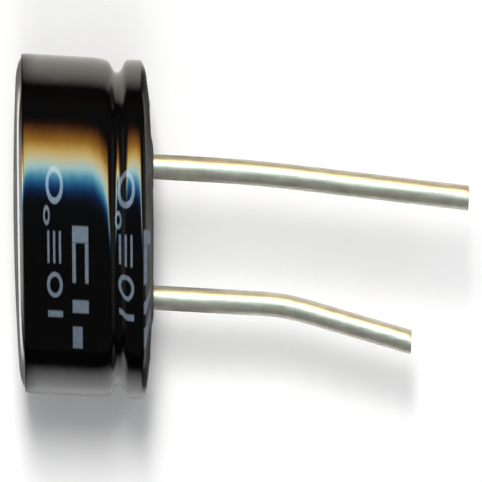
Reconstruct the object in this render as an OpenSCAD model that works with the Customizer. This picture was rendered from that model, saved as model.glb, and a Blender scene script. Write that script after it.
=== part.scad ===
// Radial electrolytic capacitor, lying on its side.
// X runs along the body, from the closed head to the lead end. Z is up.
// The origin is on the surface that it lies on, under the middle of the whole length.
// Outlines are drawn as [radius, distance from the head] and turned about the body's axis.

/* [Can] */
// Outer radius of the aluminium can
can_r = 4; // [3.5:0.1:5]
// Length of the can, from the top of its head to the edge of its rolled lip
can_l = 11.85; // [10:0.05:20]
// Wall thickness of the can
can_t = 0.3; // [0.2:0.05:0.35]
// Radius of the head's shallow dome
dome_r = 18; // [14:1:40]
// Radius of the rounding between head and side
head_corner_r = 0.7; // [0.5:0.05:0.9]
// Depth of the cross scored in the head as a vent
score_depth = 0.1; // [0.05:0.01:0.15]
// Width of the scored lines
score_w = 0.25; // [0.15:0.05:0.4]
// Length of the scored lines
score_l = 5.2; // [4:0.2:5.6]

/* [Bead and lip] */
// Distance from the middle of the bead groove to the edge of the lip
bead_to_lip = 2.8; // [2.4:0.05:3.4]
// Depth of the bead groove
bead_depth = 0.25; // [0.15:0.05:0.35]
// Radius of the groove's hollow
bead_r = 0.95; // [0.6:0.05:1.1]
// Radius of the groove's two shoulders
shoulder_r = 0.8; // [0.45:0.05:0.9]
// Radius of the bend where the open edge is rolled in
crimp_r = 0.55; // [0.45:0.05:0.7]
// Slope of the rolled-in lip
lip_slope = 24; // [5:1:30]
// Radius of the hole inside the lip
lip_r = 2.85; // [2.6:0.05:3]

/* [Sleeve] */
// Wall thickness of the shrunk sleeve
sleeve_t = 0.1; // [0.06:0.01:0.15]
// How far the sleeve wraps round the head's corner, in degrees
sleeve_wrap = 14; // [5:1:60]
// Radius of the sleeve's mouth on the lip
sleeve_mouth_r = 3.05; // [2.95:0.05:3.3]

/* [Bung] */
// How far the bung runs past the bead on its inner side
bung_past_bead = 0.15; // [0.05:0.05:0.5]
// How far the bung's face swells out past the lip
bung_bulge = 0.3; // [0.05:0.05:0.4]
// How far the wire end of each stem lies below the edge of the lip
stem_cover = 0.8; // [0.6:0.1:1.2]
// Clearance round each wire in the bung
wire_play = 0.02; // [0:0.01:0.05]

/* [Winding] */
// Gap between the winding's tape and the can
winding_gap = 0.12; // [0.08:0.01:0.2]
// Gap between the winding and the can's head, and between winding and bung
winding_end_gap = 0.35; // [0.25:0.05:0.6]
// Thickness of the closing tape
tape_t = 0.08; // [0.05:0.01:0.1]
// Width of bare winding at each end of the tape
tape_margin = 0.5; // [0.3:0.1:1]
// Radius of the hole that the winding mandrel leaves
mandrel_r = 0.5; // [0.4:0.05:0.6]

/* [Tabs] */
// Radius of the round stems in the bung
stem_r = 0.65; // [0.5:0.05:0.7]
// Thickness of the flattened blades
blade_t = 0.3; // [0.2:0.02:0.36]
// Width of the blades
blade_w = 1.7; // [1.4:0.1:1.9]
// Length of the tapered neck between stem and blade
neck_l = 0.5; // [0.3:0.05:0.8]
// How far the blades stop short of the winding's far end
blade_short = 0.6; // [0.4:0.1:1.5]
// Clearance round each blade in its slot
blade_play = 0.03; // [0.02:0.01:0.05]

/* [Leads] */
// Distance between the two wires where they leave the bung
pitch = 3.5; // [3.2:0.1:3.6]
// How far the pair of wires is turned about the body's axis, in degrees
lead_roll = 25.5; // [0:0.5:45]
// Radius of the wires
wire_r = 0.3; // [0.2:0.01:0.35]
// Long wire: straight length outside the lip
long_straight = 9.2; // [5:0.1:14]
// Long wire: angle of its slight turn
long_bend = 1; // [0.8:0.1:3]
// Long wire: straight length beyond the turn
long_tip = 18.4; // [12:0.1:24]
// Short wire: straight length outside the lip
short_straight = 9.7; // [5:0.1:11]
// Short wire: angle of its bend
short_bend = 3.8; // [1:0.05:5]
// Short wire: length of the bend
short_bend_l = 4.3; // [3:0.1:6]
// Short wire: straight length beyond the bend
short_tip = 8.9; // [6:0.1:12]

/* [Hidden] */
$fn = 64;
// Lines in each round of an outline
ARC_STEPS = 10;
// Turns that make up the short wire's bend
BEND_STEPS = 4;
// Angle from the body's lowest line to the line where the turned sleeve begins
SLEEVE_SEAM = 360 / 128;
// Overlap that keeps cuts from leaving a film
EPS = 0.05;

// Along the body
bead_s = can_l - bead_to_lip;
bead_half = sqrt(pow(bead_r + shoulder_r, 2) - pow(bead_r + shoulder_r - bead_depth, 2));
bead_turn = acos((bead_r + shoulder_r - bead_depth) / (bead_r + shoulder_r));
head_corner_c = [can_r - head_corner_r,
    dome_r - sqrt(pow(dome_r - head_corner_r, 2) - pow(can_r - head_corner_r, 2))];
head_turn = asin((can_r - head_corner_r) / (dome_r - head_corner_r));
crimp_c = [can_r - crimp_r, can_l - crimp_r * cos(lip_slope)
    - (can_r - crimp_r + crimp_r * sin(lip_slope) - lip_r) * tan(lip_slope)];
bung_s = bead_s - bead_half - bung_past_bead;
stem_end_s = can_l - stem_cover;
winding_r = can_r - can_t - winding_gap - tape_t;
winding_s0 = head_corner_c[1] - head_corner_r + can_t + winding_end_gap;
winding_s1 = bung_s - winding_end_gap - neck_l;
outer_r = can_r + sleeve_t;

// A bent wire is a row of straight stretches, each turned a little from the one before
long_stretches = [stem_cover + long_straight, long_tip];
short_stretches = concat([stem_cover + short_straight],
    [for (i = [2:BEND_STEPS]) short_bend_l / (BEND_STEPS - 1)], [short_tip]);
// How far the row reaches along X from the end of its stem
function reach(lengths, turn, i = 0) = i == len(lengths) ? wire_r * sin((i - 1) * turn)
    : lengths[i] * cos(i * turn) + reach(lengths, turn, i + 1);
total_l = stem_end_s + max(
    reach(long_stretches, long_bend), reach(short_stretches, short_bend / BEND_STEPS));

// Outlines of the can's surface, or of a surface g outside it
function arc(c, r, from, to) =
    [for (i = [0:ARC_STEPS]) let (a = from + (to - from) * i / ARC_STEPS) c + r * [cos(a), sin(a)]];
function turned_back(line) = [for (i = [len(line) - 1:-1:0]) line[i]];
function dome_line(g) = arc([0, dome_r], dome_r + g, -90, -90 + head_turn);
function corner_line(g, from) = arc(head_corner_c, head_corner_r + g, from, 0);
function bead_line(g) = concat(
    arc([can_r - shoulder_r, bead_s - bead_half], shoulder_r + g, 0, bead_turn),
    arc([can_r + bead_r - bead_depth, bead_s], bead_r - g, 180 + bead_turn, 180 - bead_turn),
    arc([can_r - shoulder_r, bead_s + bead_half], shoulder_r + g, -bead_turn, 0));
function lip_s(g, r) = crimp_c[1] + (crimp_r + g) * cos(lip_slope)
    + (crimp_c[0] + (crimp_r + g) * sin(lip_slope) - r) * tan(lip_slope);
function crimp_line(g, mouth_r) = concat(
    arc(crimp_c, crimp_r + g, 0, 90 - lip_slope), [[mouth_r, lip_s(g, mouth_r)]]);
function side_line(g, mouth_r) = concat(bead_line(g), crimp_line(g, mouth_r));
function can_line(g) = concat(dome_line(g), corner_line(g, -90 + head_turn), side_line(g, lip_r));

// Stands a turned piece in its place: its own Z becomes the body's axis
module on_axis(roll = 0) {
    translate([-total_l / 2, 0, outer_r]) rotate([roll, 0, 0]) rotate([0, 90, 0]) children();
}

// The same, turned so that the two wires lie along the piece's own Y
module on_rolled_axis() {
    on_axis(lead_roll) children();
}

module score_lines() {
    for (turn = [0, 90]) rotate([0, 0, turn])
        translate([-score_l / 2, -score_w / 2, -can_t]) cube([score_l, score_w, 3 * can_t]);
}

module sleeve() {
    color([0.03, 0.03, 0.035]) on_axis(SLEEVE_SEAM) rotate_extrude() polygon(concat(
        corner_line(sleeve_t, -sleeve_wrap), side_line(sleeve_t, sleeve_mouth_r),
        turned_back(concat(corner_line(0, -sleeve_wrap), side_line(0, sleeve_mouth_r)))));
}

module can() {
    color([0.8, 0.8, 0.78]) on_rolled_axis() difference() {
        rotate_extrude() polygon(concat(can_line(0), turned_back(can_line(-can_t))));
        intersection() {
            score_lines();
            rotate_extrude() polygon(concat(dome_line(EPS), turned_back(dome_line(-score_depth))));
        }
    }
}

module bung() {
    // The face between the lip and the axis
    face = [for (i = [1:ARC_STEPS]) let (r = lip_r * (1 - i / ARC_STEPS))
        [r, can_l + bung_bulge * (1 - pow(r / lip_r, 2))]];
    color([0.12, 0.12, 0.12]) on_rolled_axis() difference() {
        rotate_extrude() polygon(concat(
            [[0, bung_s], [can_r - can_t, bung_s]], side_line(-can_t, lip_r), [[lip_r, can_l]], face));
        for (side = [-1, 1]) translate([0, side * pitch / 2, 0]) {
            translate([0, 0, bung_s - EPS]) cylinder(r = stem_r, h = stem_end_s - bung_s + EPS);
            cylinder(r = wire_r + wire_play, h = can_l + bung_bulge + EPS);
        }
    }
}

module winding() {
    color([0.75, 0.68, 0.5]) on_rolled_axis() difference() {
        translate([0, 0, winding_s0]) cylinder(r = winding_r, h = winding_s1 - winding_s0);
        cylinder(r = mandrel_r, h = can_l);
        for (side = [-1, 1]) translate([-blade_w / 2 - blade_play, side * pitch / 2 - blade_t / 2 - blade_play,
            winding_s0 + blade_short]) cube([blade_w + 2 * blade_play, blade_t + 2 * blade_play, can_l]);
    }
}

module winding_tape() {
    color([0.85, 0.75, 0.35]) on_rolled_axis() translate([0, 0, winding_s0 + tape_margin]) difference() {
        tape_l = winding_s1 - winding_s0 - 2 * tape_margin;
        cylinder(r = winding_r + tape_t, h = tape_l);
        translate([0, 0, -EPS]) cylinder(r = winding_r, h = tape_l + 2 * EPS);
    }
}

// A round stem in the bung, a tapered neck, and a blade pressed flat that lies in the winding
module tab(side) {
    neck_s = bung_s - neck_l;
    blade_s = winding_s0 + blade_short + blade_play;
    color([0.78, 0.78, 0.8]) on_rolled_axis() translate([0, side * pitch / 2, 0]) {
        translate([0, 0, bung_s]) cylinder(r = stem_r, h = stem_end_s - bung_s);
        hull() {
            translate([0, 0, bung_s - EPS]) cylinder(r = stem_r, h = EPS, $fn = 32);
            translate([-blade_w / 2, -blade_t / 2, neck_s - EPS]) cube([blade_w, blade_t, EPS]);
        }
        translate([-blade_w / 2, -blade_t / 2, blade_s]) cube([blade_w, blade_t, neck_s - blade_s]);
    }
}

module tab_long() {
    tab(1);
}

module tab_short() {
    tab(-1);
}

// One stretch of a wire along X and all that follow it, mitred where they meet
module wire(lengths, turn, i = 0) {
    last = len(lengths) - 1;
    difference() {
        translate([i == 0 ? 0 : -wire_r, 0, 0]) rotate([0, 90, 0])
            cylinder(r = wire_r, h = lengths[i] + (i == 0 ? 0 : wire_r) + (i == last ? 0 : wire_r));
        if (i > 0) rotate([0, 0, turn / 2]) translate([-4 * wire_r, -2 * wire_r, -2 * wire_r])
            cube(4 * wire_r);
        if (i < last) translate([lengths[i], 0, 0]) rotate([0, 0, -turn / 2])
            translate([0, -2 * wire_r, -2 * wire_r]) cube(4 * wire_r);
    }
    if (i < last) translate([lengths[i], 0, 0]) rotate([0, 0, -turn]) wire(lengths, turn, i + 1);
}

// A wire from the end of its stem: straight, bent a little towards -Y, and straight again to its cut end
module lead(side, lengths, turn) {
    across = side * pitch / 2;
    color([0.75, 0.74, 0.68])
        translate([-total_l / 2 + stem_end_s, across * cos(lead_roll), outer_r + across * sin(lead_roll)])
            wire(lengths, turn);
}

module lead_long() {
    lead(1, long_stretches, long_bend);
}

module lead_short() {
    lead(-1, short_stretches, short_bend / BEND_STEPS);
}

sleeve();
can();
bung();
winding();
winding_tape();
tab_long();
tab_short();
lead_long();
lead_short();
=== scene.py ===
# %% [markdown]
# # A small radial capacitor on a white surface
# The part lies on its side: a slim aluminium can in a shrunk black sleeve, with a rubber bung in one end and
# two tinned wires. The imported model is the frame. It says where every piece is and how big it is, so the
# finely shaped pieces made here replace its plain ones in place.

# %% Load the frame
import math

import bpy
from mathutils import Matrix, Vector


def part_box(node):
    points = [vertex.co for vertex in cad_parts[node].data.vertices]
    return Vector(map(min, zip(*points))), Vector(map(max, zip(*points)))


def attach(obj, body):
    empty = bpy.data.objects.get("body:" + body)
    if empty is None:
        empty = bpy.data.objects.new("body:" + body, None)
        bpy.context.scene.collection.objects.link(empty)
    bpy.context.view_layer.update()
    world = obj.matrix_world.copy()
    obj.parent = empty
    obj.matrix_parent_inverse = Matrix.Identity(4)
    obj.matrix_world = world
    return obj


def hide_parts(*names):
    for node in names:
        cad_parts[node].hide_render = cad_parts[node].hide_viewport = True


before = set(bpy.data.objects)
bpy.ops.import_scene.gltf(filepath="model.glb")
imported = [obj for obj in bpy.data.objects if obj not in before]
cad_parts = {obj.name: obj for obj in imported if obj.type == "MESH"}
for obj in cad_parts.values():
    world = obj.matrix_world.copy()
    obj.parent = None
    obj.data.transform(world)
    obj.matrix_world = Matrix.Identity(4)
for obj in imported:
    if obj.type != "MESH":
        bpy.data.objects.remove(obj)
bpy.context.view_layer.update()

# %% [markdown]
# ## Sizes
# Everything is in metres, so a millimetre is a thousandth. The body's axis runs along X. The sleeve's box gives
# the axis its height and the outer radius, and the can's box gives the two ends. The bead and the bends repeat
# the construction's own values.

# %% Sizes and places
MM = 0.001
sleeve_low, sleeve_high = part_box("sleeve")
can_low, can_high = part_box("can")
AXIS_Z = (sleeve_low.z + sleeve_high.z) / 2
OUTER_R = (sleeve_high.z - sleeve_low.z) / 2
HEAD_X = can_low.x
LIP_X = can_high.x
CAN_R = (can_high.z - can_low.z) / 2
SLEEVE_T = OUTER_R - CAN_R

CAN_T = 0.3 * MM
DOME_R = 18 * MM
HEAD_CORNER_R = 0.7 * MM
BEAD_TO_LIP = 2.8 * MM
BEAD_DEPTH = 0.25 * MM
BEAD_R = 0.95 * MM
SHOULDER_R = 0.8 * MM
CRIMP_R = 0.55 * MM
LIP_SLOPE = math.radians(24)
LIP_R = 2.85 * MM
SCORE_DEPTH = 0.1 * MM
SCORE_W = 0.25 * MM
SCORE_L = 5.2 * MM
SLEEVE_WRAP = math.radians(14)
SLEEVE_MOUTH_R = 3.05 * MM
BUNG_BULGE = 0.3 * MM
WIRE_R = 0.3 * MM
WIRE_PITCH = 3.5 * MM
WIRE_ROLL = math.radians(25.5)
# How far each wire stands from the axis, sideways and upwards. The long wire is on the +Y side, and higher.
WIRE_OUT = WIRE_PITCH / 2 * math.cos(WIRE_ROLL)
WIRE_UP = WIRE_PITCH / 2 * math.sin(WIRE_ROLL)
print("axis height %.2f mm, outer radius %.2f mm" % (AXIS_Z / MM, OUTER_R / MM))

# %% [markdown]
# ## Outlines
# Sleeve and can are both turned shapes, and the sleeve is shrunk onto the can. So one function gives the can's
# side view as (x, radius) stations, at any distance outside its surface, and both pieces use it. Round stretches
# are arcs whose centres stay put while their radii grow or shrink, which keeps the two surfaces parallel.


# %% Outline functions
STATION_STEP = 0.25 * MM


def arc(x, r, radius, start, end, steps):
    """Stations on an arc about (x, r). Angle 0 points away from the axis, a quarter turn points along +X."""
    angles = [start + (end - start) * i / steps for i in range(steps + 1)]
    return [(x + radius * math.sin(a), r + radius * math.cos(a)) for a in angles]


def head_corner(grow, start):
    reach = DOME_R - HEAD_CORNER_R
    centre_r = CAN_R - HEAD_CORNER_R
    centre_x = HEAD_X + DOME_R - math.sqrt(reach ** 2 - centre_r ** 2)
    return arc(centre_x, centre_r, HEAD_CORNER_R + grow, start, 0, 12)


def bead(grow):
    both = BEAD_R + SHOULDER_R
    half = math.sqrt(both ** 2 - (both - BEAD_DEPTH) ** 2)
    turn = math.acos((both - BEAD_DEPTH) / both)
    x = LIP_X - BEAD_TO_LIP
    hollow = arc(x, CAN_R + BEAD_R - BEAD_DEPTH, BEAD_R - grow, math.pi + turn, math.pi - turn, 14)
    return (arc(x - half, CAN_R - SHOULDER_R, SHOULDER_R + grow, 0, turn, 8) + hollow[1:]
            + arc(x + half, CAN_R - SHOULDER_R, SHOULDER_R + grow, -turn, 0, 8)[1:])


def crimp(grow, mouth_r, steps=8):
    centre_r = CAN_R - CRIMP_R
    bend_end = centre_r + CRIMP_R * math.sin(LIP_SLOPE)
    centre_x = LIP_X - CRIMP_R * math.cos(LIP_SLOPE) - (bend_end - LIP_R) * math.tan(LIP_SLOPE)
    bend = arc(centre_x, centre_r, CRIMP_R + grow, 0, math.pi / 2 - LIP_SLOPE, 12)
    last_x, last_r = bend[-1]
    lip = [(last_r - mouth_r) * (i + 1) / steps for i in range(steps)]
    return bend + [(last_x + inward * math.tan(LIP_SLOPE), last_r - inward) for inward in lip]


def between(a, b, steps):
    """Evenly spaced stations between two that are far apart, without the two themselves."""
    return [(a[0] + (b[0] - a[0]) * i / steps, a[1] + (b[1] - a[1]) * i / steps) for i in range(1, steps)]


def joined(*stretches):
    """Stretches of an outline with even stations in the plain lengths between them."""
    line = list(stretches[0])
    for stretch in stretches[1:]:
        steps = max(1, round((stretch[0][0] - line[-1][0]) / STATION_STEP))
        line += between(line[-1], stretch[0], steps) + list(stretch)
    return line


# %% [markdown]
# ## Modelling helpers
# A turned piece is grown ring by ring, as by hand: a circle is added at the first station, then extruded and
# scaled to each next one. That leaves clean rows of quads for wrinkles, bevels and subdivision to work on.
# Every operator acts on what is selected, so each piece starts from an empty selection.


# %% Helpers for turned pieces
SAME_PLACE = 1e-6


def start_piece(add, name, **settings):
    if bpy.context.object and bpy.context.object.mode != "OBJECT":
        bpy.ops.object.mode_set(mode="OBJECT")
    bpy.ops.object.select_all(action="DESELECT")
    add(**settings)
    piece = bpy.context.object
    piece.name = name
    piece.data.name = name
    return piece


def grow_rings(stations, axis_y, axis_z):
    """Extrudes the selected ring from each station to the next, about an axis along X."""
    for (x0, r0), (x1, r1) in zip(stations, stations[1:]):
        bpy.ops.mesh.extrude_region_move(TRANSFORM_OT_translate={"value": (x1 - x0, 0, 0)})
        scale = r1 / r0
        bpy.ops.transform.resize(value=(1, scale, scale), center_override=(x1, axis_y, axis_z))


def turned(name, stations, sides, axis_y=0.0, axis_z=None, close_start=False, close_end=False):
    """A piece turned about an axis along X, through the stations of its outline."""
    axis_z = AXIS_Z if axis_z is None else axis_z
    x, r = stations[0]
    piece = start_piece(bpy.ops.mesh.primitive_circle_add, name, vertices=sides, radius=r,
                        location=(x, axis_y, axis_z), rotation=(0, math.pi / 2, 0))
    bpy.ops.object.transform_apply(location=True, rotation=True, scale=True)
    bpy.ops.object.mode_set(mode="EDIT")
    bpy.ops.mesh.select_all(action="SELECT")
    if close_start:
        bpy.ops.mesh.edge_face_add()
        bpy.ops.mesh.poke()
        bpy.ops.mesh.select_all(action="DESELECT")
        select_ring(piece, x, r, axis_y, axis_z)
    grow_rings(stations, axis_y, axis_z)
    if close_end:
        bpy.ops.mesh.edge_face_add()
        bpy.ops.mesh.poke()
    bpy.ops.mesh.select_all(action="SELECT")
    bpy.ops.mesh.normals_make_consistent(inside=False)
    bpy.ops.object.mode_set(mode="OBJECT")
    return piece


def select_ring(piece, x, r, axis_y, axis_z):
    """Selects the edges whose two ends lie on the ring of radius r at x."""
    bpy.ops.object.mode_set(mode="OBJECT")

    def on_ring(vertex):
        away = math.hypot(vertex.co.y - axis_y, vertex.co.z - axis_z)
        return abs(vertex.co.x - x) < SAME_PLACE and abs(away - r) < SAME_PLACE

    for edge in piece.data.edges:
        edge.select = all(on_ring(piece.data.vertices[i]) for i in edge.vertices)
    for vertex in piece.data.vertices:
        vertex.select = on_ring(vertex)
    bpy.ops.object.mode_set(mode="EDIT")
    bpy.ops.mesh.select_mode(type="EDGE")


def finish_modifier(piece, kind, **settings):
    """Adds a modifier, sets it and applies it."""
    modifier = piece.modifiers.new(kind.title(), kind)
    for key, value in settings.items():
        setattr(modifier, key, value)
    bpy.ops.object.modifier_apply(modifier=modifier.name)


def select_only(piece, *others):
    """Selects the pieces and makes the first one active."""
    bpy.ops.object.select_all(action="DESELECT")
    for chosen in (piece, *others):
        chosen.select_set(True)
    bpy.context.view_layer.objects.active = piece


def smooth(piece, degrees=40):
    select_only(piece)
    bpy.ops.object.shade_smooth_by_angle(angle=math.radians(degrees))
    print(piece.name, len(piece.data.polygons), "faces")


def stands_for(piece, node):
    """Puts the piece in the place of a node of the frame."""
    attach(piece, "root")
    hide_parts(node)


# %% [markdown]
# ## The sleeve
# Heat shrinks a printed tube of film onto the can. It follows the bead, laps a little round the head's corner
# and rolls in over the lip. It starts to draw in a little before the bead, as the bead pulls it down. Film never
# shrinks perfectly even: it keeps faint waves, most of all beside the bead and at the two free edges. The outer
# skin is grown from the shared outline. A soft noise presses it in by a few hundredths of a millimetre there, and
# Solidify then gives the film its wall inwards.

# %% Model the sleeve
BODY_SIDES = 160
BEAD_X = LIP_X - BEAD_TO_LIP
# How deep the film sinks beside the bead. The other three are in millimetres from the bead: where it starts to
# sink, how far it takes to reach full depth, and where it is back on the can. DRAW_EASE makes the start gentle.
DRAW_DEPTH = 0.055 * MM
DRAW_START = 2.6
DRAW_LENGTH = 1.9
DRAW_END = 0.8
DRAW_EASE = 2.4
# Where the film lies loose: the middle of the place, how far it reaches, and how loose it is there at most
LOOSE_PLACES = ((HEAD_X + 0.6 * MM, 0.9 * MM, 0.8), (BEAD_X, 1.5 * MM, 1.0), (LIP_X - 0.2 * MM, 0.7 * MM, 1.0))
LOOSE_ANYWHERE = 0.12


def limited(t):
    return min(1, max(0, t))


def drawn_in(x, r):
    """The film starts to sink well before it reaches the bead, on the head's side."""
    past = (x - BEAD_X) / MM
    return x, r - DRAW_DEPTH * limited((past + DRAW_START) / DRAW_LENGTH) ** DRAW_EASE * limited(DRAW_END - past)


def waviness(x):
    """How loosely the film lies at x: most beside the bead and at both free edges."""
    return max(LOOSE_ANYWHERE, *(most * (1 - abs(x - centre) / reach) for centre, reach, most in LOOSE_PLACES))


sleeve_line = joined(head_corner(SLEEVE_T, -SLEEVE_WRAP), bead(SLEEVE_T), crimp(SLEEVE_T, SLEEVE_MOUTH_R))
sleeve_line = [drawn_in(x, r) for x, r in sleeve_line]
sleeve = turned("shrink_sleeve", sleeve_line, BODY_SIDES)
loose = sleeve.vertex_groups.new(name="loose")
for vertex in sleeve.data.vertices:
    loose.add([vertex.index], waviness(vertex.co.x), "REPLACE")
soft_noise = bpy.data.textures.new("soft_noise", "CLOUDS")
soft_noise.noise_scale = 1.3 * MM
soft_noise.noise_depth = 1
finish_modifier(sleeve, "DISPLACE", texture=soft_noise, texture_coords="LOCAL", mid_level=1.0,
                strength=0.07 * MM, vertex_group="loose")
FILM_SHARE = 0.9  # of the room between outer skin and can, so that the film's inside never touches the metal
finish_modifier(sleeve, "SOLIDIFY", thickness=SLEEVE_T * FILM_SHARE, offset=-1)
smooth(sleeve, 50)
stands_for(sleeve, "sleeve")

# %% [markdown]
# ## The can
# The can is drawn from one disc of aluminium. Its head is very slightly domed and carries a scored cross, so
# that it opens gently if the pressure inside ever rises. The outer skin is grown from the middle of the head to
# the rolled lip, and a wall is added inwards. The score is cut with a Boolean, by a cross of two bars.

# %% Model the can
DOME_STEPS = 24
SCORE_STEPS = 20
dome_turn = math.asin((CAN_R - HEAD_CORNER_R) / (DOME_R - HEAD_CORNER_R))
dome_line = [(HEAD_X + DOME_R * (1 - math.cos(a)), DOME_R * math.sin(a))
             for a in [dome_turn * (i + 1) / DOME_STEPS for i in range(DOME_STEPS)]]
can_line = joined(dome_line[:-1], head_corner(0, -(math.pi / 2 - dome_turn)), bead(0), crimp(0, LIP_R))
can = turned("can_shell", can_line, BODY_SIDES, close_start=True)
finish_modifier(can, "SOLIDIFY", thickness=CAN_T, offset=-1)


def score_cutter(turn):
    """A bar bent to the dome, whose inner face lies SCORE_DEPTH under the head's surface."""
    places = [SCORE_L * (i / SCORE_STEPS - 0.5) for i in range(SCORE_STEPS + 1)]
    stations = [(HEAD_X + DOME_R - math.sqrt(DOME_R ** 2 - z ** 2) + SCORE_DEPTH, z) for z in places]
    x, z = stations[0]
    bar = start_piece(bpy.ops.mesh.primitive_plane_add, "score_cutter", size=1)
    bpy.ops.transform.resize(value=(2 * SCORE_DEPTH, SCORE_W, 1))
    bar.location = (x - SCORE_DEPTH, 0, AXIS_Z + z)
    bpy.ops.object.transform_apply(location=True, rotation=True, scale=True)
    bpy.ops.object.mode_set(mode="EDIT")
    bpy.ops.mesh.select_all(action="SELECT")
    for (x0, z0), (x1, z1) in zip(stations, stations[1:]):
        bpy.ops.mesh.extrude_region_move(TRANSFORM_OT_translate={"value": (x1 - x0, 0, z1 - z0)})
    bpy.ops.mesh.select_all(action="SELECT")
    bpy.ops.mesh.normals_make_consistent(inside=False)
    bpy.ops.transform.rotate(value=turn, orient_axis="X", center_override=(HEAD_X, 0, AXIS_Z))
    bpy.ops.object.mode_set(mode="OBJECT")
    return bar


for quarter in (0, 1):
    cutter = score_cutter(WIRE_ROLL + quarter * math.pi / 2)
    select_only(can)
    finish_modifier(can, "BOOLEAN", object=cutter, operation="DIFFERENCE", solver="EXACT")
    bpy.data.objects.remove(cutter)
finish_modifier(can, "WEIGHTED_NORMAL", keep_sharp=True)
smooth(can, 35)
stands_for(can, "can")

# %% [markdown]
# ## The bung
# A rubber bung fills the open end. The lip squeezes it, so its face swells out a little, and it rises in a small
# collar round each wire.

# %% Model the bung
FACE_STEPS = 16
BUNG_SIDES = 96
COLLAR_SIDES = 40
# How far past the lip the swollen face stands where the collars rise from it
COLLAR_BASE = 0.1
face_line = [(LIP_X + BUNG_BULGE * (1 - (1 - i / FACE_STEPS) ** 2), LIP_R * (1 - i / FACE_STEPS))
             for i in range(FACE_STEPS)]
bung_low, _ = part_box("bung")
bung_line = [(bung_low.x, CAN_R - CAN_T)] + joined(bead(-CAN_T), crimp(-CAN_T, LIP_R)) + face_line
bung = turned("rubber_bung", bung_line, BUNG_SIDES, close_start=True, close_end=True)

# A collar's outline in millimetres, as rise above its base and radius, goes in over its top and back inside the
# rubber
COLLAR = ((0, 0.72), (0.1, 0.6), (0.16, 0.5), (0.19, 0.42), (0.18, 0.35), (0.13, 0.28), (-0.05, 0.28), (-0.05, 0.72),
          (0, 0.72))
collar_line = [(LIP_X + (COLLAR_BASE + rise) * MM, r * MM) for rise, r in COLLAR]
collars = [turned("collar", collar_line, COLLAR_SIDES, axis_y=side * WIRE_OUT, axis_z=AXIS_Z + side * WIRE_UP)
           for side in (1, -1)]
select_only(bung, *collars)
bpy.ops.object.join()
bpy.ops.object.mode_set(mode="EDIT")
bpy.ops.mesh.select_all(action="SELECT")
bpy.ops.mesh.remove_doubles(threshold=0.001 * MM)
bpy.ops.mesh.normals_make_consistent(inside=False)
bpy.ops.object.mode_set(mode="OBJECT")
smooth(bung, 40)
stands_for(bung, "bung")

# %% [markdown]
# ## The wires
# Each wire leaves the bung straight, bends a little and runs straight on to where it was cut. A circle is
# extruded along that route and turned with it. The shears leave a fine edge round each cut end.


# %% Model the wires
WIRE_SIDES = 32
STRAIGHT_STEPS = 12
BEND_STEPS = 24
TIP_STEPS = 24


def wire_route(side, straight, bend, bend_l, tip):
    """Points from inside the bung to the cut end, and the heading at each."""
    lead_low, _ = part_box("lead_long" if side > 0 else "lead_short")
    x = lead_low.x
    y = side * WIRE_OUT
    route = [(x, y, 0.0)]
    inner = LIP_X - x
    lengths = ([(inner + straight) / STRAIGHT_STEPS] * STRAIGHT_STEPS + [bend_l / BEND_STEPS] * BEND_STEPS
               + [tip / TIP_STEPS] * TIP_STEPS)
    turns = [0.0] * STRAIGHT_STEPS + [bend / BEND_STEPS] * BEND_STEPS + [0.0] * TIP_STEPS
    heading = 0.0
    for length, turn in zip(lengths, turns):
        heading += turn
        x += length * math.cos(heading)
        y -= length * math.sin(heading)
        route.append((x, y, heading))
    return route


def model_wire(name, side, *route_sizes):
    z = AXIS_Z + side * WIRE_UP
    route = wire_route(side, *route_sizes)
    x, y, _ = route[0]
    wire = start_piece(bpy.ops.mesh.primitive_circle_add, name, vertices=WIRE_SIDES, radius=WIRE_R,
                       location=(x, y, z), rotation=(0, math.pi / 2, 0), fill_type="NGON")
    bpy.ops.object.transform_apply(location=True, rotation=True, scale=True)
    bpy.ops.object.mode_set(mode="EDIT")
    bpy.ops.mesh.select_all(action="SELECT")
    for (x0, y0, h0), (x1, y1, h1) in zip(route, route[1:]):
        bpy.ops.mesh.extrude_region_move(TRANSFORM_OT_translate={"value": (x1 - x0, y1 - y0, 0)})
        if h1 != h0:
            bpy.ops.transform.rotate(value=h1 - h0, orient_axis="Z", center_override=(x1, y1, z))
    bpy.ops.mesh.select_all(action="SELECT")
    bpy.ops.mesh.normals_make_consistent(inside=False)
    bpy.ops.object.mode_set(mode="OBJECT")
    finish_modifier(wire, "BEVEL", width=0.03 * MM, segments=2, limit_method="ANGLE", angle_limit=math.radians(60))
    smooth(wire, 40)
    return wire


# After its side come a wire's straight length, its bend, the bend's length and the straight length of its tip
long_wire = model_wire("long_wire", 1, 5.2 * MM, math.radians(1), 8 * MM, 14.4 * MM)
stands_for(long_wire, "lead_long")
short_wire = model_wire("short_wire", -1, 9.7 * MM, math.radians(3.8), 4.3 * MM, 8.9 * MM)
stands_for(short_wire, "lead_short")

# %% [markdown]
# ## Shader maths in plain expressions
# A small class wraps a socket, so that masks can be written as sums and products. Each operator adds one Math
# node. Any other node comes from one method.


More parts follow.
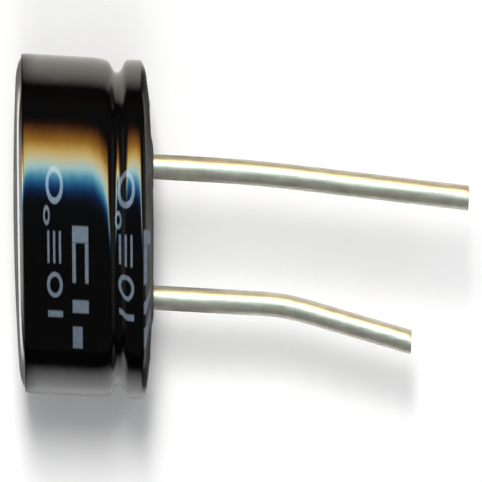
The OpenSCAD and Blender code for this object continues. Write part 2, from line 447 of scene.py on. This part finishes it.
# %% Socket wrapper
class Sock:
    def __init__(self, tree, socket):
        self.tree = tree
        self.socket = socket

    def node(self, kind, settings=None, output=0, **inputs):
        """Adds a node: its settings first, then values or links for its input sockets, by name or number."""
        made = self.tree.nodes.new(kind)
        for key, value in (settings or {}).items():
            if key == "stops":
                set_stops(made.color_ramp, value)
            else:
                setattr(made, key, value)
        for key, value in inputs.items():
            where = int(key[1:]) if key[0] == "_" else key.replace("_", " ")
            self.feed(made.inputs[where], value)
        return Sock(self.tree, made.outputs[output])

    def feed(self, socket, value):
        if isinstance(value, Sock):
            self.tree.links.new(value.socket, socket)
        else:
            socket.default_value = value

    def beside(self, output):
        """Another output of the same node."""
        return Sock(self.tree, self.socket.node.outputs[output])

    def math(self, operation, *values):
        inputs = {"_%d" % i: v for i, v in enumerate(values)}
        return self.node("ShaderNodeMath", {"operation": operation}, **inputs)

    def __add__(self, other):
        return self.math("ADD", self, other)

    def __radd__(self, other):
        return self.math("ADD", other, self)

    def __sub__(self, other):
        return self.math("SUBTRACT", self, other)

    def __rsub__(self, other):
        return self.math("SUBTRACT", other, self)

    def __mul__(self, other):
        return self.math("MULTIPLY", self, other)

    def __rmul__(self, other):
        return self.math("MULTIPLY", other, self)

    def __abs__(self):
        return self.math("ABSOLUTE", self)

    def over(self, edge, soft):
        """1 where the value is above edge, falling to 0 over a soft width."""
        return self.node("ShaderNodeMapRange", {"interpolation_type": "SMOOTHSTEP"},
                         Value=self, From_Min=edge - soft, From_Max=edge + soft)

    def under(self, edge, soft):
        return 1 - self.over(edge, soft)


def set_stops(ramp, stops):
    while len(ramp.elements) < len(stops):
        ramp.elements.new(1.0)
    for element, (place, colour) in zip(ramp.elements, stops):
        element.position = place
        element.color = colour


def new_material(name, **surface):
    """A material with a Principled surface, and a socket to start expressions from."""
    material = bpy.data.materials.new(name)
    material.use_nodes = True
    tree = material.node_tree
    shader = tree.nodes["Principled BSDF"]
    for key, value in surface.items():
        shader.inputs[key.replace("_", " ")].default_value = value
    place = Sock(tree, tree.nodes.new("ShaderNodeTexCoord").outputs["Object"])
    return material, shader, place


def wear(piece, material):
    piece.data.materials.clear()
    piece.data.materials.append(material)
    print(piece.name, "wears", material.name)


def mix(mask, low, high):
    """A colour that goes from low to high as the mask goes from 0 to 1."""
    return mask.node("ShaderNodeMix", {"data_type": "RGBA"}, output=2, _0=mask, _6=low, _7=high)


def bump(height, strength, distance):
    return height.node("ShaderNodeBump", Strength=strength, Distance=distance, Height=height)


# %% [markdown]
# ## Round the body
# The print needs two measures at every point of the sleeve: how far along the axis it is, and how far round,
# both in millimetres. Arc tangent turns height and side into an angle, and the angle times the radius is the
# length of film.


# %% Film measures
def film_measures(place):
    """Millimetres along the film from the head, and round it from the top towards +Y."""
    x = place.node("ShaderNodeSeparateXYZ", _0=place)
    y, z = x.beside(1), x.beside(2)
    along = (x - HEAD_X) * (1 / MM)
    turn = place.math("ARCTAN2", y, z - AXIS_Z)
    return along, turn * (OUTER_R / MM)


# %% [markdown]
# ## Print on the sleeve
# The film is printed in pale grey-blue ink, in rows that run round the can. The rows here are plain marks:
# rings, bars and blocks. They repeat along the film, as a printed tube's do, and once more on the far side. All
# their sizes are in millimetres, u along the body from the start of a row and v round it.

# %% Print marks
INK_SOFT = 0.035
ROW_PITCH = 6.2
FIRST_ROW = 2.3
FAR_SIDE = math.pi * OUTER_R / MM
# Each ring has its middle, its two radii and its stroke, and each bar its edges: first along, then round
RINGS = ((1.25, 1.02, 0.75, 0.47, 0.2), (0.55, 0.27, 0.28, 0.24, 0.12), (1.22, -1.43, 0.68, 0.33, 0.18))
SMALL_BARS = ((0.6, 0.78, -0.88, -0.1), (1.1, 1.28, -0.88, -0.1), (1.6, 1.78, -0.88, -0.1), (0.6, 1.9, -2.3, -2.12))
BOLD_BARS = ((2.75, 4.15, -0.35, 0.05), (2.75, 3.05, -1.35, -0.35), (3.85, 4.15, -1.35, -0.35),
             (2.75, 4.15, -2.15, -1.8), (2.75, 3.6, -3.25, -2.55))


def box_mark(u, v, u0, u1, v0, v1):
    """A bar between two places along the body and two round it."""
    half_u, half_v = (u1 - u0) / 2, (v1 - v0) / 2
    across = abs(u - (u0 + half_u)).under(half_u, INK_SOFT)
    return across * abs(v - (v0 + half_v)).under(half_v, INK_SOFT)


def ring_mark(u, v, cu, cv, ru, rv, stroke):
    """An oval ring: its radii are ru along the body and rv round it."""
    du = (u - cu) * (1 / ru)
    dv = (v - cv) * (1 / rv)
    reach = du.math("SQRT", du * du + dv * dv)
    middle = 1 - stroke / (ru + rv)
    return abs(reach - middle).under(stroke / (ru + rv), 2 * INK_SOFT / (ru + rv))


def either(first, *others):
    """Where any of the masks is."""
    for other in others:
        first = first.math("MAXIMUM", first, other)
    return first


def print_mask(along, around):
    """Ink on one half of the film, folded so that both halves and every length carry the same rows."""
    u = along.math("FLOORED_MODULO", along - FIRST_ROW, ROW_PITCH)
    v = around.math("FLOORED_MODULO", around + FAR_SIDE / 2, FAR_SIDE) - FAR_SIDE / 2
    marks = [ring_mark(u, v, *ring) for ring in RINGS]
    marks += [box_mark(u, v, *bar) for bar in SMALL_BARS + BOLD_BARS]
    return either(*marks)


print("print:", len(RINGS), "rings and", len(SMALL_BARS + BOLD_BARS), "bars in a row of", ROW_PITCH, "mm")

# %% [markdown]
# ## The film's surface
# The film is deep black and very glossy. Its ink covers unevenly and is duller than the film, and so is the
# stretch that was rolled over the lip, where the film was creased. Noise adds faint smudges and waves.

# %% Sleeve material
BLACK = (0.001, 0.001, 0.0012, 1)
INK = (0.13, 0.165, 0.21, 1)
film, film_shader, place = new_material("sleeve_film", IOR=1.5)
along, around = film_measures(place)
ink = print_mask(along, around)
patchy = place.node("ShaderNodeTexNoise", Vector=place, Scale=5200.0, Detail=3.0)
ink_cover = ink * (patchy * 0.7 + 0.55)
place.feed(film_shader.inputs["Base Color"], mix(ink_cover, BLACK, INK))
smudge = place.node("ShaderNodeTexNoise", Vector=place, Scale=420.0, Detail=4.0)
rolled_end = along.over((LIP_X - HEAD_X) / MM - 0.45, 0.15)
place.feed(film_shader.inputs["Roughness"], smudge * 0.08 + 0.06 + ink * 0.1 + rolled_end * 0.25)
waves = place.node("ShaderNodeTexNoise", Vector=place, Scale=900.0, Detail=2.0)
place.feed(film_shader.inputs["Normal"], bump(waves, 0.25, 0.02 * MM))
wear(sleeve, film)

# %% [markdown]
# ## Metals
# The drawn can is satin, with a fine uneven grain from the punch. The wires are copper-clad steel with a bright,
# slightly warm tin coat that keeps fine lines from the drawing die.

# %% Can and wire materials
drawn, drawn_shader, place = new_material("drawn_aluminium", Metallic=1.0)
grain = place.node("ShaderNodeTexNoise", Vector=place, Scale=1500.0, Detail=5.0)
place.feed(drawn_shader.inputs["Base Color"], mix(grain, (0.72, 0.73, 0.73, 1), (0.9, 0.9, 0.89, 1)))
place.feed(drawn_shader.inputs["Roughness"], grain * 0.12 + 0.1)
wear(can, drawn)

tin, tin_shader, place = new_material("tinned_wire", Metallic=0.8)
stretched = place.node("ShaderNodeMapping", Vector=place, Scale=(0.06, 1.0, 1.0))
lines = place.node("ShaderNodeTexNoise", Vector=stretched, Scale=9000.0, Detail=3.0)
spots = place.node("ShaderNodeTexNoise", Vector=place, Scale=1400.0, Detail=3.0)
streaks = spots * 0.4 + lines * 0.6
place.feed(tin_shader.inputs["Base Color"], mix(streaks, (0.38, 0.37, 0.29, 1), (0.84, 0.82, 0.71, 1)))
place.feed(tin_shader.inputs["Roughness"], lines * 0.2 + 0.36)
place.feed(tin_shader.inputs["Normal"], bump(lines, 0.45, 0.012 * MM))
for wire in (long_wire, short_wire):
    wear(wire, tin)

# %% [markdown]
# ## Rubber and what it seals in
# The bung is matte, with a dusty bloom. The winding, its tape and the two tabs keep the construction's own
# shapes, because the closed can hides them, and only get their finishes here.

# %% Rubber, winding and tab materials
rubber, rubber_shader, place = new_material("bung_rubber")
bloom = place.node("ShaderNodeTexNoise", Vector=place, Scale=2600.0, Detail=6.0)
place.feed(rubber_shader.inputs["Base Color"], mix(bloom, (0.02, 0.02, 0.021, 1), (0.06, 0.06, 0.062, 1)))
place.feed(rubber_shader.inputs["Roughness"], bloom * 0.25 + 0.45)
place.feed(rubber_shader.inputs["Normal"], bump(bloom, 0.4, 0.02 * MM))
wear(bung, rubber)


def inner_finish(name, nodes, low, high, scale, **surface):
    """A finish for a sealed inner piece, which keeps the construction's own shape."""
    material, shader, spot = new_material(name, **surface)
    noise = spot.node("ShaderNodeTexNoise", Vector=spot, Scale=scale, Detail=4.0)
    spot.feed(shader.inputs["Base Color"], mix(noise, low, high))
    for node in nodes:
        wear(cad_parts[node], material)


inner_finish("wound_paper", ["winding"], (0.55, 0.48, 0.34, 1), (0.78, 0.72, 0.58, 1), 3000.0, Roughness=0.7)
inner_finish("film_tape", ["winding_tape"], (0.7, 0.52, 0.16, 1), (0.82, 0.66, 0.26, 1), 1200.0, Roughness=0.25)
inner_finish("tab_aluminium", ["tab_long", "tab_short"], (0.7, 0.7, 0.71, 1), (0.85, 0.85, 0.86, 1), 2500.0,
             Roughness=0.3, Metallic=1.0)

# %% [markdown]
# ## Floor, light and camera
# The part lies on plain white card. Only the stretch of card beside the part is lit brightly enough to be seen
# in its gloss, so the wide card hides from reflections and a narrow copy stands in for it there. The copy's
# colour is painted light and shade: it fades out to its sides, it carries painted shade beside the head and past
# the lip, so that the metal's edge and the rolled film keep their depth, and it carries a painted warm light on
# the lamp's side. It still takes the part's shadows as well.


# %% Floor
NEAR_HALF_W = 16 * MM
# How deep the painted shade on the near card is beside the head and past the lip
HEAD_PAINTED_SHADE = 0.85
LIP_PAINTED_SHADE = 0.9
# The colour of the painted warm light on the near card's lamp side
PAINTED_LAMP_WARMTH = (0.95, 0.9, 0.8, 1)


def card_finish(name):
    """A card material, its shader, the socket to start from and the card's colour."""
    material, shader, spot = new_material(name, Roughness=0.9, Specular_IOR_Level=0.1)
    fibre = spot.node("ShaderNodeTexNoise", Vector=spot, Scale=700.0, Detail=4.0)
    return material, shader, spot, mix(fibre, (0.86, 0.86, 0.865, 1), (0.89, 0.89, 0.89, 1))


floor = start_piece(bpy.ops.mesh.primitive_plane_add, "white_card", size=1.8, location=(0, 0, 0))
material, shader, spot, white = card_finish("white_card")
spot.feed(shader.inputs["Base Color"], white)
wear(floor, material)
floor.visible_glossy = False

near = start_piece(bpy.ops.mesh.primitive_plane_add, "near_card", size=0.2, location=(0, 0, 0.01 * MM))
material, shader, spot, white = card_finish("near_card")
spot_x = spot.node("ShaderNodeSeparateXYZ", _0=spot)
spot_y = spot_x.beside(1)
# Painted light and shade on the near card: darker beside the head and past the lip, and fading out to its sides
painted_shade_by_head = spot_x.under(HEAD_X + 1 * MM, 1.5 * MM) * spot_x.over(HEAD_X - 6 * MM, 3 * MM)
painted_shade_past_lip = spot_x.over(LIP_X + 0.5 * MM, 1 * MM) * spot_x.under(LIP_X + 6 * MM, 2 * MM)
lit = abs(spot_y).under(NEAR_HALF_W, 6 * MM) * (1 - painted_shade_by_head * HEAD_PAINTED_SHADE) * (1 - painted_shade_past_lip * LIP_PAINTED_SHADE)
# Painted light: the near card turns warm towards +Y, the lamp's side
lamp_warmth_painted = mix(spot_y.over(6 * MM, 4 * MM), white, PAINTED_LAMP_WARMTH)
spot.feed(shader.inputs["Base Color"], mix(lit, (0, 0, 0, 1), lamp_warmth_painted))
wear(near, material)
near.visible_camera = False
near.visible_diffuse = False
near.visible_shadow = False

# %% [markdown]
# ## Lamps and surroundings
# The light is a soft lamp high on the +Y side, with a broad dim one overhead and a weak one from -Y to open the
# shadows. Reflections see none of them. They see the surroundings instead, which are painted by direction: a long
# tube lamp that runs along the part, warm at one edge and cool at the other, dim ends, and near darkness
# elsewhere. On a glossy black cylinder that draws one coloured band, which swings where the bead tilts the film.


# %% Lights
def lamp(name, toward_y, toward_head, distance, width, power, colour):
    """A square lamp that points at the body's axis, turned from straight up towards +Y and towards the head."""
    data = bpy.data.lights.new(name, "AREA")
    data.size = width
    data.energy = power
    data.color = colour
    made = bpy.data.objects.new(name, data)
    bpy.context.scene.collection.objects.link(made)
    up = Vector((-math.tan(toward_head), math.tan(toward_y), 1)).normalized()
    made.location = Vector((0, 0, AXIS_Z)) + up * distance
    made.rotation_euler = up.to_track_quat("Z", "Y").to_euler()
    made.visible_glossy = False
    print(name, "lamp at", [round(v, 2) for v in made.location])


lamp("key", math.radians(18.5), math.radians(7), 0.5, 0.17, 1.93, (1.0, 0.99, 0.97))
lamp("fill", math.radians(-42), 0, 0.6, 0.4, 0.55, (1.0, 1.0, 1.0))
lamp("overhead", 0, 0, 2.0, 4.0, 38.5, (0.97, 0.98, 1.0))

# %% Surroundings that reflections see
TUBE_GLOW = 13.0
# The ramp's whole width, in degrees from straight up towards +Y, and the tube's colour at some of them
RAMP_TURN = 100
TUBE = [(20, (0, 0, 0)), (26, (0.0, 0.015, 0.09)), (31, (0.006, 0.12, 0.34)), (36, (0.08, 0.45, 0.66)),
        (42, (0.62, 1.0, 1.0)), (48, (1.0, 0.88, 0.52)), (54, (0.92, 0.62, 0.16)), (61, (0.47, 0.21, 0.02)),
        (69, (0.16, 0.055, 0.012)), (75, (0.016, 0.003, 0)), (80, (0, 0, 0))]
world = bpy.data.worlds.new("studio")
bpy.context.scene.world = world
world.use_nodes = True
world.cycles_visibility.diffuse = False
sky = world.node_tree
looking = Sock(sky, sky.nodes.new("ShaderNodeTexCoord").outputs["Generated"])
toward_x = looking.node("ShaderNodeSeparateXYZ", _0=looking)
# How fast the tube curves away towards the lead end and towards the head, as a share of the ramp
LEAN_TO_LEADS = 0.9
LEAN_TO_HEAD = -0.25
leant = toward_x.math("MAXIMUM", toward_x * LEAN_TO_LEADS, toward_x * LEAN_TO_HEAD)
turn = looking.math("ARCTAN2", toward_x.beside(1), toward_x.beside(2)) * (180 / math.pi / RAMP_TURN) + leant
stops = [(angle / RAMP_TURN, colour + (1,)) for angle, colour in TUBE]
tube = turn.node("ShaderNodeValToRGB", {"stops": stops}, Fac=turn)
ends = abs(toward_x).over(0.7, 0.2)
dim = mix(ends, (0.05, 0.05, 0.052, 1), (0.3, 0.297, 0.29, 1))
glow = tube.node("ShaderNodeVectorMath", {"operation": "SCALE"}, _0=tube,
                 Scale=TUBE_GLOW * abs(toward_x).under(0.4, 0.25))
total = glow.node("ShaderNodeVectorMath", {"operation": "ADD"}, _0=glow, _1=dim)
looking.feed(sky.nodes["Background"].inputs["Color"], total)
bpy.context.scene.view_settings.view_transform = "Standard"
print("surroundings:", len(stops), "colours across the tube")

# %% [markdown]
# ## Camera
# The camera looks straight down from far off, as a flat scanner does, and leans a hair towards the head. Its
# picture is stretched upright: it shows a millimetre across the body STRETCH times taller than a millimetre
# along it. An ordinary camera can't do that, but a camera that hangs from a slanted parent can. The parent's
# matrix has the camera's up direction laid back towards the lens, so each step up the picture covers only
# 1 / STRETCH of the usual length of card.

# %% Camera
STRETCH = 3.6
LEAN = math.radians(1)
ROLL = math.radians(0.9)
VIEW_W = 41.91 * MM
CENTRE = Vector((0.02 * MM, -0.085 * MM, AXIS_Z))
LENS = 900
SENSOR_W = 36

stand = bpy.data.objects.new("camera_stand", None)
bpy.context.scene.collection.objects.link(stand)
camera = bpy.data.objects.new("camera", bpy.data.cameras.new("camera"))
bpy.context.scene.collection.objects.link(camera)
camera.data.lens = LENS
camera.data.sensor_width = SENSOR_W
camera.data.clip_end = 10
flat_right = Vector((math.cos(ROLL), math.sin(ROLL), 0))
up = Vector((-math.sin(ROLL), math.cos(ROLL), 0))
right = flat_right * math.cos(LEAN) + Vector((0, 0, math.sin(LEAN)))
back = flat_right * -math.sin(LEAN) + Vector((0, 0, math.cos(LEAN)))
laid_back = up / STRETCH - back * math.sqrt(1 - 1 / STRETCH ** 2)
away = CENTRE + back * (VIEW_W * LENS / SENSOR_W)
slant = Matrix((right, laid_back, back)).transposed().to_4x4()
slant.translation = away
camera.parent = stand
camera.matrix_parent_inverse = slant
bpy.context.scene.camera = camera
print("camera", [round(v, 3) for v in away], "stretch", STRETCH)
